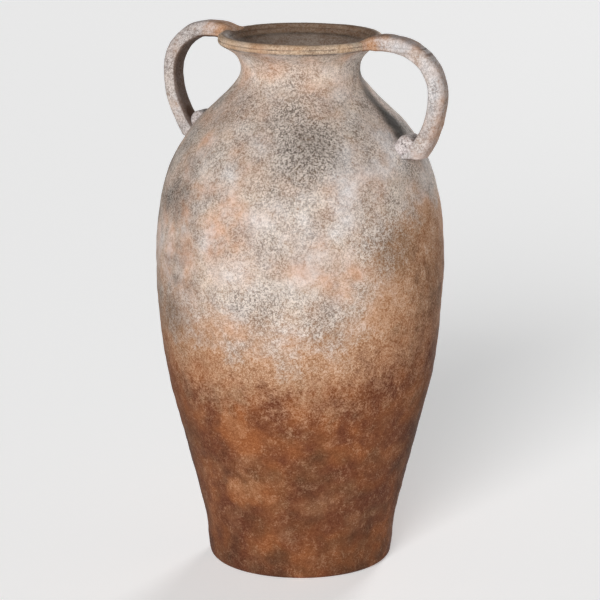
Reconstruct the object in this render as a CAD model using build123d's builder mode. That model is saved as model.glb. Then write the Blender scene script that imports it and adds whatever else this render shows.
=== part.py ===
"""Two-handled terracotta amphora, built the way a potter builds a jar of this size.

A slab floor carries three thrown wall sections, a thrown neck collar and a lip coil.
Each joint is a ring, luted face to face. Two pulled strap handles run from the lip to
the shoulder, and a short roll of clay is pressed into the crook of each lower root.
The handles were pulled by hand, so the two differ by a few millimetres.

Frame: millimetres, +Z up, origin at the centre of the resting face. The handles lie
in the XZ plane, the right one on +X.
"""
from build123d import *
import math
import os

os.makedirs("parts", exist_ok=True)

# ---- driving dimensions (mm) -----------------------------------------------------
FOOT_RADIUS = 95.5        # flat resting face
FOOT_EDGE_R = 102.9       # outer radius just above the rounded foot edge
FOOT_EDGE_Z = 9.0
FLOOR_THICK = 14.0        # slab floor
BELLY_RADIUS = 160.4      # widest point
LIP_RADIUS = 90.6         # outermost point of the lip
LIP_Z0 = 585.5            # underside of the lip coil
LIP_Z1 = 595.2            # top of the lip coil
LIP_THROAT = 73.3         # inner radius at the lip coil's underside
LIP_INNER = 78.9          # inner radius of the lip coil's rounded band
THROAT_END = (80.6, 591.8)  # where the collar's inside would run out past the lip
WALL_BASE = 12.5          # wall thickness beside the floor
WALL_BELLY = 9.5          # wall thickness at the belly
WALL_NECK = 8.5           # wall thickness at the throat

JOINT_LOWER_Z = 178.0     # lower wall to belly wall
JOINT_BELLY_Z = 346.0     # belly wall to shoulder wall
JOINT_NECK_Z = 529.0      # shoulder wall to neck collar
BEVEL = 0.5               # rise of the two bevelled joints per mm inwards

HANDLE_T = 18.0           # strap thickness, in the plane of the handle
HANDLE_W = 21.0           # strap width
HANDLE_CORNER = 6.5       # rounding of the strap's edges
HANDLE_START = (1.0, 0.30)  # direction of the centre line where it leaves the lip
HANDLE_FOOT_Z = 470.5     # flat underside of the lower roots

ROLL_RADIUS = 10.5        # clay roll in the crook of the lower root
ROLL_LENGTH = 26.0
ROLL_DOME = 5.0           # rounding of the roll's ends
RIGHT_ROLL_AT = (136.5, 485.5)  # roll centre, radius and height
LEFT_ROLL_AT = (128.2, 490.0)

# Centre line of each strap: radius and height, from the lip down to the shoulder.
RIGHT_PATH = [
    (80.0, 589.0),
    (119.0, 593.0),
    (158.0, 574.5),
    (171.0, 541.0),
    (164.5, 507.0),
    (146.0, 475.0),
    (138.5, 464.0),
]
LEFT_PATH = [
    (80.0, 589.0),
    (116.5, 593.0),
    (153.2, 575.0),
    (166.0, 541.5),
    (159.5, 507.5),
    (139.5, 473.5),
    (132.0, 463.5),
]

# Outer profile of the walls: radius and height, foot to lip.
OUTER = [
    (FOOT_EDGE_R, FOOT_EDGE_Z),
    (105.0, 30.0),
    (109.8, 60.0),
    (117.4, 90.0),
    (125.4, 120.0),
    (137.0, 165.0),
    (147.6, 210.0),
    (155.0, 258.0),
    (159.2, 310.0),
    (BELLY_RADIUS, 352.0),
    (157.6, 392.0),
    (150.6, 430.0),
    (137.0, 464.0),
    (116.2, 496.0),
    (92.0, 520.0),
    (74.6, 538.5),
    (66.6, 552.0),
    (66.2, 563.0),
    (71.2, 573.0),
    (80.0, 580.2),
    (89.2, LIP_Z0),
]


def wall_at(z):
    """Wall thickness at a height: thick beside the floor, thinner to the throat."""
    if z < 120.0:
        return WALL_BASE + (WALL_BELLY - WALL_BASE) * z / 120.0
    if z < 420.0:
        return WALL_BELLY
    return WALL_BELLY + (WALL_NECK - WALL_BELLY) * min(1.0, (z - 420.0) / 140.0)


def inner_points():
    """The outer points moved inwards by the wall thickness, square to the profile."""
    found = []
    last = len(OUTER) - 1
    for i, (r, z) in enumerate(OUTER):
        a, b = OUTER[max(i - 1, 0)], OUTER[min(i + 1, last)]
        dr, dz = b[0] - a[0], b[1] - a[1]
        n = math.hypot(dr, dz)
        t = wall_at(z)
        found.append((r - t * dz / n, z + t * dr / n))
    found[-1] = THROAT_END
    return found


INNER = inner_points()
OUTER_ENDS = [(0.04, 1.0), (1.0, 0.52)]   # end directions of the outer profile
INNER_ENDS = [(0.04, 1.0), (0.8, 0.6)]    # end directions of the inner profile


# ---- joints: each is a line across the wall, given by its inner and outer ends ------
def level_joint(z):
    return (0.0, z), (260.0, z)


def bevelled_joint(z, r):
    """Through the wall's outside at (r, z), rising inwards so that the rings centre."""
    return (r - 40.0, z + 40.0 * BEVEL), (r + 40.0, z - 40.0 * BEVEL)


J_FLOOR = level_joint(FLOOR_THICK)
J_LOWER = bevelled_joint(JOINT_LOWER_Z, 140.2)
J_BELLY = bevelled_joint(JOINT_BELLY_Z, BELLY_RADIUS)
J_NECK = level_joint(JOINT_NECK_Z)
J_LIP = level_joint(LIP_Z0)


# ---- shared outlines, in a plane whose X is the radius and whose Y is the height -----
with BuildLine() as wall_line:
    outer = Spline(*OUTER, tangents=OUTER_ENDS)
    inner = Spline(*INNER, tangents=INNER_ENDS)
    Line(outer @ 0, inner @ 0)
    Line(outer @ 1, inner @ 1)

with BuildLine() as flank_line:
    flank = Spline(*OUTER, tangents=OUTER_ENDS)
    Polyline(flank @ 1, (0.0, LIP_Z0), (0.0, FOOT_EDGE_Z), flank @ 0)

# ---- floor: a rolled slab with a rounded foot edge ----------------------------------
with BuildPart() as floor_disc:
    with BuildSketch(Plane.YZ):
        with BuildLine():
            edge = ThreePointArc(
                (FOOT_RADIUS, 0.0),
                (FOOT_RADIUS + 5.6, 2.9),
                (FOOT_EDGE_R, FOOT_EDGE_Z),
            )
            side = Spline(*OUTER, tangents=OUTER_ENDS)
            Polyline(side @ 1, (0.0, LIP_Z0), (0.0, 0.0), edge @ 0)
        make_face()
        with BuildLine():
            Polyline((0, -5), (260, -5), J_FLOOR[1], J_FLOOR[0], close=True)
        make_face(mode=Mode.INTERSECT)
    revolve(axis=Axis.Z)
floor_disc.part.label = "floor_disc"
export_step(floor_disc.part, "parts/floor_disc.step")

# ---- thrown wall sections ------------------------------------------------------------
with BuildPart() as lower_wall:
    with BuildSketch(Plane.YZ):
        with BuildLine():
            add(wall_line.line)
        make_face()
        with BuildLine():
            Polyline(J_FLOOR[0], J_FLOOR[1], J_LOWER[1], J_LOWER[0], close=True)
        make_face(mode=Mode.INTERSECT)
    revolve(axis=Axis.Z)
lower_wall.part.label = "lower_wall"
export_step(lower_wall.part, "parts/lower_wall.step")

with BuildPart() as belly_wall:
    with BuildSketch(Plane.YZ):
        with BuildLine():
            add(wall_line.line)
        make_face()
        with BuildLine():
            Polyline(J_LOWER[0], J_LOWER[1], J_BELLY[1], J_BELLY[0], close=True)
        make_face(mode=Mode.INTERSECT)
    revolve(axis=Axis.Z)
belly_wall.part.label = "belly_wall"
export_step(belly_wall.part, "parts/belly_wall.step")

with BuildPart() as shoulder_wall:
    with BuildSketch(Plane.YZ):
        with BuildLine():
            add(wall_line.line)
        make_face()
        with BuildLine():
            Polyline(J_BELLY[0], J_BELLY[1], J_NECK[1], J_NECK[0], close=True)
        make_face(mode=Mode.INTERSECT)
    revolve(axis=Axis.Z)
shoulder_wall.part.label = "shoulder_wall"
export_step(shoulder_wall.part, "parts/shoulder_wall.step")

with BuildPart() as neck_collar:
    with BuildSketch(Plane.YZ):
        with BuildLine():
            add(wall_line.line)
        make_face()
        with BuildLine():
            Polyline(J_NECK[0], J_NECK[1], J_LIP[1], J_LIP[0], close=True)
        make_face(mode=Mode.INTERSECT)
    revolve(axis=Axis.Z)
neck_collar.part.label = "neck_collar"
export_step(neck_collar.part, "parts/neck_collar.step")

# ---- lip: a coil luted on the flared collar and thrown to a rounded band --------------
with BuildPart() as lip_coil:
    with BuildSketch(Plane.YZ):
        with BuildLine():
            under = Line((LIP_THROAT, LIP_Z0), (89.2, LIP_Z0))
            face = ThreePointArc(under @ 1, (LIP_RADIUS, 589.6), (87.4, 594.2))
            crown = ThreePointArc(face @ 1, (84.4, LIP_Z1), (81.0, 593.8))
            ThreePointArc(crown @ 1, (LIP_INNER, 591.2), under @ 0)
        make_face()
    revolve(axis=Axis.Z)
lip_coil.part.label = "lip_coil"
export_step(lip_coil.part, "parts/lip_coil.step")

# ---- filled outside of the jar, to fit the handles and rolls against -------------------
with BuildPart() as envelope:
    with BuildSketch(Plane.YZ):
        with BuildLine():
            add(flank_line.line)
        make_face()
    revolve(axis=Axis.Z)


def strap_line(points, side):
    """A chain of tangent arcs through the points, on the side's half of the XZ plane."""
    with BuildLine(Plane.XZ) as chain:
        here = [(side * r, z) for r, z in points]
        leg = TangentArc(here[0], here[1], tangent=(side * HANDLE_START[0], HANDLE_START[1]))
        for point in here[2:]:
            leg = TangentArc(leg @ 1, point, tangent=leg % 1)
    return chain.line


RIGHT_LINE = strap_line(RIGHT_PATH, 1)
LEFT_LINE = strap_line(LEFT_PATH, -1)

# ---- strap handles, saddled over the lip and pressed flat on the shoulder ---------------
with BuildPart() as right_handle:
    with BuildSketch(Plane(origin=RIGHT_LINE @ 0, x_dir=(0, 1, 0), z_dir=RIGHT_LINE % 0)):
        RectangleRounded(HANDLE_W, HANDLE_T, HANDLE_CORNER)
    sweep(path=RIGHT_LINE)
    split(bisect_by=Plane.XY.offset(HANDLE_FOOT_Z), keep=Keep.TOP)
    add(envelope.part, mode=Mode.SUBTRACT)
    add(lip_coil.part, mode=Mode.SUBTRACT)
right_handle.part.label = "right_handle"
export_step(right_handle.part, "parts/right_handle.step")

with BuildPart() as left_handle:
    with BuildSketch(Plane(origin=LEFT_LINE @ 0, x_dir=(0, 1, 0), z_dir=LEFT_LINE % 0)):
        RectangleRounded(HANDLE_W, HANDLE_T, HANDLE_CORNER)
    sweep(path=LEFT_LINE)
    split(bisect_by=Plane.XY.offset(HANDLE_FOOT_Z), keep=Keep.TOP)
    add(envelope.part, mode=Mode.SUBTRACT)
    add(lip_coil.part, mode=Mode.SUBTRACT)
left_handle.part.label = "left_handle"
export_step(left_handle.part, "parts/left_handle.step")

# ---- clay rolls between strap and shoulder, lying along Y --------------------------------
with BuildPart() as right_handle_roll:
    with Locations(Location((RIGHT_ROLL_AT[0], 0, RIGHT_ROLL_AT[1]), (90, 0, 0))):
        Cylinder(ROLL_RADIUS, ROLL_LENGTH)
    fillet(right_handle_roll.edges().filter_by(GeomType.CIRCLE), ROLL_DOME)
    add(envelope.part, mode=Mode.SUBTRACT)
    add(right_handle.part, mode=Mode.SUBTRACT)
right_handle_roll.part.label = "right_handle_roll"
export_step(right_handle_roll.part, "parts/right_handle_roll.step")

with BuildPart() as left_handle_roll:
    with Locations(Location((-LEFT_ROLL_AT[0], 0, LEFT_ROLL_AT[1]), (90, 0, 0))):
        Cylinder(ROLL_RADIUS, ROLL_LENGTH)
    fillet(left_handle_roll.edges().filter_by(GeomType.CIRCLE), ROLL_DOME)
    add(envelope.part, mode=Mode.SUBTRACT)
    add(left_handle.part, mode=Mode.SUBTRACT)
left_handle_roll.part.label = "left_handle_roll"
export_step(left_handle_roll.part, "parts/left_handle_roll.step")
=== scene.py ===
import bpy
import math
import numpy as np
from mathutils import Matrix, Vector


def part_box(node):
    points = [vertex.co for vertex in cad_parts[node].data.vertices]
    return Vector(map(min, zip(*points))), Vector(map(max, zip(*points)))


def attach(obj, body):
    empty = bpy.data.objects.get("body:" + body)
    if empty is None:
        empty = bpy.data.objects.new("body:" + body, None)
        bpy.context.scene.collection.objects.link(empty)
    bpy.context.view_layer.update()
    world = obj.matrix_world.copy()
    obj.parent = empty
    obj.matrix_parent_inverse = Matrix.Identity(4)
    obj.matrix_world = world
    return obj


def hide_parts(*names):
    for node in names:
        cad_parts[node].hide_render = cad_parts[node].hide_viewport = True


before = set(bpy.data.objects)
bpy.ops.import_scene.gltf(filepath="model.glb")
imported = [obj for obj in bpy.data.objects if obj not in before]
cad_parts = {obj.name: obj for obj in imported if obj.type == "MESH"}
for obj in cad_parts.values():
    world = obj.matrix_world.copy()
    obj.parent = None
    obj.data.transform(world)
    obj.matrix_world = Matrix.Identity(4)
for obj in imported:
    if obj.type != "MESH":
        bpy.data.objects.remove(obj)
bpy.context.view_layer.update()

# Two-handled terracotta amphora: high-resolution clay surfaces around the CAD frame.
# Lengths in the shape code are millimetres; MM turns them into metres for Blender.
MM = 0.001


# =====================================================================================
# Noise
# =====================================================================================
GRAD = np.array(
    [[1, 1, 0], [-1, 1, 0], [1, -1, 0], [-1, -1, 0], [1, 0, 1], [-1, 0, 1],
     [1, 0, -1], [-1, 0, -1], [0, 1, 1], [0, -1, 1], [0, 1, -1], [0, -1, -1]],
    np.float32,
)


def lattice(ix, iy, iz, seed):
    """A well-mixed 32-bit number for each lattice point."""
    with np.errstate(over="ignore"):
        h = (
            ix.astype(np.uint32) * np.uint32(374761393)
            + iy.astype(np.uint32) * np.uint32(668265263)
            + iz.astype(np.uint32) * np.uint32(2246822519)
            + np.uint32((seed * 3266489917) & 0xFFFFFFFF)
        )
        h ^= h >> np.uint32(15)
        h *= np.uint32(2246822519)
        h ^= h >> np.uint32(13)
        h *= np.uint32(3266489917)
        h ^= h >> np.uint32(16)
    return h


def noise(p, scale, seed):
    """Gradient noise of the points p (N, 3), about -1 to 1, with features of that size."""
    q = np.asarray(p, np.float64) / scale + 17.31 * (seed + 1)
    i = np.floor(q).astype(np.int64)
    f = (q - i).astype(np.float32)
    u = f * f * f * (f * (f * 6 - 15) + 10)
    out = np.zeros(len(q), np.float32)
    for dx in (0, 1):
        wx = u[:, 0] if dx else 1 - u[:, 0]
        for dy in (0, 1):
            wy = u[:, 1] if dy else 1 - u[:, 1]
            for dz in (0, 1):
                wz = u[:, 2] if dz else 1 - u[:, 2]
                g = GRAD[lattice(i[:, 0] + dx, i[:, 1] + dy, i[:, 2] + dz, seed) % np.uint32(12)]
                dot = g[:, 0] * (f[:, 0] - dx) + g[:, 1] * (f[:, 1] - dy) + g[:, 2] * (f[:, 2] - dz)
                out += wx * wy * wz * dot
    return out * 1.5


# =====================================================================================
# The jar's profile: radius and height, mm
# =====================================================================================
OUTER = [
    (102.9, 9.0), (103.8, 15.0), (105.0, 30.0), (106.9, 45.0), (110.0, 60.0),
    (117.4, 90.0), (125.5, 120.0), (133.2, 150.0), (140.9, 180.0), (147.7, 210.0),
    (152.6, 240.0), (156.2, 270.0), (158.7, 300.0), (160.1, 330.0), (160.2, 360.0),
    (157.9, 390.0), (153.0, 420.0), (143.8, 450.0), (136.6, 465.0), (127.3, 480.0),
    (116.4, 495.0), (102.1, 510.0), (86.8, 525.0), (72.9, 540.0), (67.4, 548.0),
    (65.8, 557.0), (66.9, 565.0), (70.6, 572.0), (76.6, 577.8), (83.0, 581.8),
    (87.4, 584.2),
]
INNER = [
    (73.6, 585.5), (64.6, 578.3), (59.4, 570.5), (57.6, 561.0), (58.6, 549.0),
    (66.6, 534.0), (83.0, 515.5), (96.6, 502.5), (109.4, 489.4), (129.6, 460.0),
    (141.4, 429.0), (148.2, 391.0), (150.8, 352.0), (149.7, 310.0), (145.6, 258.0),
    (138.2, 210.0), (127.7, 165.0), (116.0, 120.0), (107.4, 90.0), (98.8, 60.0),
    (93.1, 30.0), (91.4, 14.0),
]
# The lip's rounded band, with a fine turned line at its middle and a small undercut.
LIP = [
    (88.6, 584.9), (89.9, 586.4), (90.5, 588.2), (90.45, 589.4), (90.0, 589.9),
    (90.4, 590.5), (90.35, 592.0), (89.5, 593.6), (87.8, 594.7), (85.4, 595.1),
    (82.9, 594.7), (81.0, 593.4), (79.8, 591.6), (78.4, 589.4),
]
FLOOR_Z = 14.0


def smooth_curve(points, step):
    """A C2 cubic spline through the points, sampled about every step mm."""
    p = np.array(points, float)
    d = np.sqrt(np.hypot(*np.diff(p, axis=0).T))
    t = np.concatenate([[0.0], np.cumsum(d)])
    n = len(t)
    h = np.diff(t)
    a = np.zeros((n, n))
    b = np.zeros((n, 2))
    a[0, 0] = a[-1, -1] = 1.0
    for k in range(1, n - 1):
        a[k, k - 1], a[k, k], a[k, k + 1] = h[k - 1], 2 * (h[k - 1] + h[k]), h[k]
        b[k] = 6 * ((p[k + 1] - p[k]) / h[k] - (p[k] - p[k - 1]) / h[k - 1])
    m = np.linalg.solve(a, b)
    fine = np.linspace(0, t[-1], 6000)
    k = np.clip(np.searchsorted(t, fine, side="right") - 1, 0, n - 2)
    x, hk = (fine - t[k])[:, None], h[k][:, None]
    y = (
        p[k]
        + x * ((p[k + 1] - p[k]) / hk - hk * (2 * m[k] + m[k + 1]) / 6)
        + x * x * m[k] / 2
        + x**3 * (m[k + 1] - m[k]) / (6 * hk)
    )
    s = np.concatenate([[0.0], np.cumsum(np.hypot(*np.diff(y, axis=0).T))])
    count = max(2, int(round(s[-1] / step)) + 1)
    at = np.linspace(0, s[-1], count)
    return np.column_stack([np.interp(at, s, y[:, 0]), np.interp(at, s, y[:, 1])])


def resample(curve, step):
    s = np.concatenate([[0.0], np.cumsum(np.hypot(*np.diff(curve, axis=0).T))])
    count = max(2, int(round(s[-1] / step)) + 1)
    at = np.linspace(0, s[-1], count)
    return np.column_stack([np.interp(at, s, curve[:, 0]), np.interp(at, s, curve[:, 1])])


# One run of points right round the wall: foot, outside, lip, inside, down to the floor.
foot_edge = [(95.0, 0.0), (97.6, 0.35), (99.8, 1.5), (101.4, 3.3), (102.4, 5.8)]
whole = smooth_curve(foot_edge + OUTER + LIP + INNER, 0.2)


def cut_at(curve, z, falling=False):
    """Index of the first point past height z, walking up (or down)."""
    for k in range(1, len(curve)):
        a, b = curve[k - 1, 1], curve[k, 1]
        if (not falling and a < z <= b) or (falling and a > z >= b):
            return k
    raise ValueError(z)


top = int(np.argmax(whole[:, 1]))
outside, inside = whole[: top + 1], whole[top:]


def at_height(curve, z, falling=False):
    k = cut_at(curve, z, falling)
    a, b = curve[k - 1], curve[k]
    w = (z - a[1]) / (b[1] - a[1])
    return a + w * (b - a)


def between(curve, z0, z1, step, falling=False):
    """The stretch of the curve between two heights, evenly resampled, ends exact."""
    a, b = at_height(curve, z0, falling), at_height(curve, z1, falling)
    i, j = cut_at(curve, z0, falling), cut_at(curve, z1, falling)
    return resample(np.vstack([a, curve[i:j], b]), step)


# Joint heights follow the CAD pieces: outside edge and inside edge of each ring.
J = {
    "floor": (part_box("floor_disc")[1].z / MM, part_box("floor_disc")[1].z / MM),
    "lower": (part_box("belly_wall")[0].z / MM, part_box("lower_wall")[1].z / MM),
    "belly": (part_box("shoulder_wall")[0].z / MM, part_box("belly_wall")[1].z / MM),
    "neck": (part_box("neck_collar")[0].z / MM,) * 2,
    "lip": (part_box("lip_coil")[0].z / MM,) * 2,
}
order = ["floor", "lower", "belly", "neck", "lip"]
COLS = 600

rows, marks = [], {}


def lay(name, pts):
    """Adds a stretch of rows to the whole run, sharing the ring where it joins."""
    start = len(rows)
    for k, q in enumerate(pts):
        if rows and k == 0 and np.hypot(*(rows[-1] - q)) < 1e-6:
            start -= 1
            continue
        rows.append(q)
    marks[name] = (start, len(rows) - 1)


lay("out_foot", np.vstack([[95.0, 0.0], between(outside, 0.02, J["floor"][0], 1.0)[1:]]))
lay("out_lower", between(outside, J["floor"][0], J["lower"][0], 1.75))
lay("out_belly", between(outside, J["lower"][0], J["belly"][0], 1.75))
lay("out_shoulder", between(outside, J["belly"][0], J["neck"][0], 1.75))
lay("out_neck", between(outside, J["neck"][0], J["lip"][0], 0.9))
i0 = cut_at(outside, J["lip"][0])
j0 = cut_at(inside, J["lip"][1], True)
lay("lip", resample(np.vstack([at_height(outside, J["lip"][0])[None], outside[i0:], inside[1:j0],
                               at_height(inside, J["lip"][1], True)[None]]), 0.55))
lay("in_neck", between(inside, J["lip"][1], J["neck"][1], 1.3, True))
lay("in_shoulder", between(inside, J["neck"][1], J["belly"][1], 3.6, True))
lay("in_belly", between(inside, J["belly"][1], J["lower"][1], 4.0, True))
lay("in_lower", between(inside, J["lower"][1], J["floor"][1] + 0.001, 4.0, True))

base = np.array(rows)  # (R, 2)
R = len(base)
d = np.gradient(base, axis=0)
length = np.hypot(d[:, 0], d[:, 1])
nrm2 = np.column_stack([d[:, 1] / length, -d[:, 0] / length])  # points out of the clay


# =====================================================================================
# Hand-made surface: how far the clay stands off the turned profile, mm
# =====================================================================================
rng = np.random.default_rng(41)
PITS = []
for _ in range(230):
    a = rng.uniform(0, 2 * math.pi)
    z = rng.uniform(20, 560)
    r = float(np.interp(z, outside[:, 1], outside[:, 0]))
    PITS.append((r * math.cos(a), r * math.sin(a), z, rng.uniform(1.6, 4.6), rng.uniform(0.18, 0.55)))
for _ in range(26):
    a = rng.uniform(0, 2 * math.pi)
    z = rng.uniform(40, 500)
    r = float(np.interp(z, outside[:, 1], outside[:, 0]))
    PITS.append((r * math.cos(a), r * math.sin(a), z, rng.uniform(7, 15), rng.uniform(-0.55, 0.75)))


# small tool creases in the wall: two ends (mm), width, depth
CREASES = [
    ((-28, -156, 305), (-19, -156, 284), 2.2, 0.9),
    ((-19, -156, 284), (-2, -157, 287), 1.8, 0.6),
    ((-24, -156, 300), (-13, -157, 283), 3.2, -0.7),
    ((60, 148, 352), (78, 139, 341), 2.2, 0.6),
    ((-122, 88, 230), (-118, 92, 246), 2.0, 0.5),
]


def relief(p, fine=True):
    """Height of the clay over the turned profile at the points p (N, 3)."""
    z = p[:, 2]
    ang = np.arctan2(p[:, 1], p[:, 0])
    out = 0.75 * noise(p, 165, 1) + 0.45 * noise(p, 78, 2) + 0.34 * noise(p, 36, 3)
    out += 0.20 * noise(p, 17, 4)
    swell = 0.5 + 0.5 * noise(p * [0.4, 0.4, 1.0], 80, 5)
    out += 0.20 * swell * np.sin(z / 3.05 + 2.4 * noise(p * [0.3, 0.3, 1.0], 60, 6) + ang * 0.5)
    if fine:
        out += 0.11 * noise(p, 8.5, 7) + 0.075 * noise(p, 4.4, 8)
        for x, y, zz, rad, deep in PITS:
            near = np.abs(z - zz) < rad * 1.6
            q = p[near] - [x, y, zz]
            k = np.einsum("ij,ij->i", q, q) / (rad * rad)
            out[near] -= deep * np.exp(-2.2 * k * k - 0.6 * k)
        for a, b, wide, deep in CREASES:
            a, b = np.array(a, float), np.array(b, float)
            near = np.abs(z - (a[2] + b[2]) / 2) < abs(a[2] - b[2]) / 2 + 4 * wide
            q, ab = p[near] - a, b - a
            t = np.clip(q @ ab / (ab @ ab), 0, 1)
            dist = np.linalg.norm(q - t[:, None] * ab, axis=1) / wide
            out[near] -= deep * np.exp(-dist * dist)
    fade = np.clip((z - 1.0) / 10.0, 0.15, 1.0)
    lip = np.clip((z - 578.0) / 6.0, 0.0, 1.0)
    return out * fade * (1.0 - 0.45 * lip)


theta = np.arange(COLS) * 2 * math.pi / COLS
cosines, sines = np.cos(theta), np.sin(theta)
P0 = np.stack([base[:, 0, None] * cosines, base[:, 0, None] * sines,
               np.repeat(base[:, 1, None], COLS, 1)], -1)
N0 = np.stack([nrm2[:, 0, None] * cosines, nrm2[:, 0, None] * sines,
               np.repeat(nrm2[:, 1, None], COLS, 1)], -1)
h = relief(P0.reshape(-1, 3)).reshape(R, COLS)
P = P0 + N0 * h[..., None]
P[0, :, 2] = 0.0
P[:, :, 2] = np.maximum(P[:, :, 2], 0.0)
along = np.gradient(P, axis=0)
around = np.roll(P, -1, 1) - np.roll(P, 1, 1)
NRM = np.cross(around, along)
NRM /= np.linalg.norm(NRM, axis=-1, keepdims=True)


# =====================================================================================
# Meshes
# =====================================================================================
def make_object(name, verts_mm, faces, corner_normals=None, vertex_normals=None):
    mesh = bpy.data.meshes.new(name)
    v = np.asarray(verts_mm, np.float64) * MM
    quads = [f for f in faces]
    sizes = np.concatenate([np.full(len(f), f.shape[1]) for f in quads])
    corners = np.concatenate([f.ravel() for f in quads]).astype(np.int32)
    mesh.vertices.add(len(v))
    mesh.vertices.foreach_set("co", v.astype(np.float32).ravel())
    mesh.loops.add(len(corners))
    mesh.loops.foreach_set("vertex_index", corners)
    mesh.polygons.add(len(sizes))
    mesh.polygons.foreach_set("loop_start", np.concatenate([[0], np.cumsum(sizes)[:-1]]).astype(np.int32))
    mesh.update(calc_edges=True)
    mesh.validate()
    mesh.polygons.foreach_set("use_smooth", np.ones(len(mesh.polygons), bool))
    if corner_normals is not None:
        mesh.normals_split_custom_set(corner_normals.astype(np.float32))
    elif vertex_normals is not None:
        mesh.normals_split_custom_set_from_vertices(vertex_normals.astype(np.float32))
    obj = bpy.data.objects.new(name, mesh)
    bpy.context.scene.collection.objects.link(obj)
    return obj


def ring_quads(a, b, n=COLS, flip=False):
    """Quads between ring a and ring b, each given by its first vertex index."""
    i = np.arange(n)
    j = (i + 1) % n
    q = np.column_stack([a + i, a + j, b + j, b + i])
    return q[:, ::-1] if flip else q


def fill_disc(verts, ring_start, n, z, facing_up):
    """Closes a flat disc inside a ring, halving the ring as it runs to the centre."""
    faces = []
    centre = np.array([0.0, 0.0, z])
    ring = np.array(verts[ring_start : ring_start + n])
    start = ring_start
    while True:
        if n % 2 == 0 and n > 24:
            m = n // 2
            radius = float(np.hypot(ring[0, 0], ring[0, 1]))
            inner_r = radius * (1 - 2.6 * math.pi / n)
            a = np.arange(m) * 2 * math.pi / m
            new = np.column_stack([inner_r * np.cos(a), inner_r * np.sin(a), np.full(m, z)])
            new[:, 2] += 0.10 * noise(new, 9, 61) * (1 if facing_up else 0)
            s2 = len(verts)
            verts.extend(new.tolist())
            k = np.arange(m)
            k1 = (k + 1) % m
            o0, o1, o2 = start + 2 * k, start + 2 * k + 1, start + (2 * k + 2) % n
            tri = np.vstack([
                np.column_stack([o0, o1, s2 + k]),
                np.column_stack([o1, s2 + k1, s2 + k]),
                np.column_stack([o1, o2, s2 + k1]),
            ])
            faces.append(tri)
            ring, n, start = new, m, s2
        else:
            radius = float(np.hypot(ring[0, 0], ring[0, 1]))
            steps = max(1, int(radius / (2 * math.pi * radius / n)) - 1)
            for t in range(1, steps + 1):
                rr = radius * (1 - t / (steps + 1))
                a = np.arange(n) * 2 * math.pi / n
                new = np.column_stack([rr * np.cos(a), rr * np.sin(a), np.full(n, z)])
                new[:, 2] += 0.10 * noise(new, 9, 61) * (1 if facing_up else 0)
                s2 = len(verts)
                verts.extend(new.tolist())
                q = ring_quads(start, s2, n)
                faces.append(q[:, [0, 1, 2]])
                faces.append(q[:, [0, 2, 3]])
                start = s2
            c = len(verts)
            verts.append(centre.tolist())
            i = np.arange(n)
            faces.append(np.column_stack([start + i, start + (i + 1) % n, np.full(n, c)]))
            break
    out = np.vstack(faces)
    return out if facing_up else out[:, ::-1]


def wall_piece(name, out_name, in_name):
    """A ring of wall: outside rows, upper joint, inside rows, lower joint."""
    a, b = marks[out_name]
    c, e = marks[in_name]
    blocks, normals, smooth = [], [], []
    for r in range(a, b + 1):
        blocks.append(P[r]); normals.append(NRM[r]); smooth.append(True)
    for t in (0.33, 0.67):
        blocks.append(P[b] * (1 - t) + P[c] * t); normals.append(NRM[b]); smooth.append(False)
    for r in range(c, e + 1):
        blocks.append(P[r]); normals.append(NRM[r]); smooth.append(True)
    for t in (0.33, 0.67):
        blocks.append(P[e] * (1 - t) + P[a] * t); normals.append(NRM[a]); smooth.append(False)
    return name, blocks, normals, smooth


def build_rings(name, blocks, normals, smooth, closed=True):
    verts = np.concatenate(blocks)
    vn = np.concatenate(normals)
    n = len(blocks)
    faces, flat = [], []
    for k in range(n if closed else n - 1):
        m = (k + 1) % n
        faces.append(ring_quads(k * COLS, m * COLS))
        flat.append(np.full(COLS, not (smooth[k] and smooth[m])))
    faces = np.concatenate(faces)
    flat = np.concatenate(flat)
    corner = vn[faces.ravel()].reshape(-1, 4, 3).copy()
    q = verts[faces]
    fn = np.cross(q[:, 2] - q[:, 0], q[:, 3] - q[:, 1])
    fn /= np.linalg.norm(fn, axis=1, keepdims=True) + 1e-12
    corner[flat] = fn[flat][:, None, :]
    return make_object(name, verts, [faces], corner_normals=corner.reshape(-1, 3))


made = {}
for node, o, i in (
    ("lower_wall", "out_lower", "in_lower"),
    ("belly_wall", "out_belly", "in_belly"),
    ("shoulder_wall", "out_shoulder", "in_shoulder"),
    ("neck_collar", "out_neck", "in_neck"),
):
    made[node] = build_rings(*(("clay_" + node,) + wall_piece(node, o, i)[1:]))

# the lip: its own rows, closed underneath by the joint
a, b = marks["lip"]
blocks = [P[r] for r in range(a, b + 1)] + [P[b] * (1 - t) + P[a] * t for t in (0.25, 0.5, 0.75)]
normals = [NRM[r] for r in range(a, b + 1)] + [NRM[a]] * 3
made["lip_coil"] = build_rings("clay_lip_coil", blocks, normals, [True] * (b - a + 1) + [False] * 3)

# the floor: foot edge, joint, and the two discs
a, b = marks["out_foot"]
e = marks["in_lower"][1]
blocks = [P[r] for r in range(a, b + 1)] + [P[b] * (1 - t) + P[e] * t for t in (0.33, 0.67, 1.0)]
vlist = np.concatenate(blocks)
vlist[-COLS:, 2] = FLOOR_Z
vlist = vlist.tolist()
faces = np.concatenate([ring_quads(k * COLS, (k + 1) * COLS) for k in range(len(blocks) - 1)])
edge = np.vstack([faces[:, [0, 1, 2]], faces[:, [0, 2, 3]]])
upper = fill_disc(vlist, (len(blocks) - 1) * COLS, COLS, FLOOR_Z, True)
under = fill_disc(vlist, 0, COLS, 0.0, False)
tris = np.vstack([edge, upper, under])
v = np.array(vlist)
corner = np.zeros((len(tris), 3, 3))
q = v[tris]
fn = np.cross(q[:, 1] - q[:, 0], q[:, 2] - q[:, 0])
corner[:] = (fn / (np.linalg.norm(fn, axis=1, keepdims=True) + 1e-12))[:, None, :]
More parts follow.
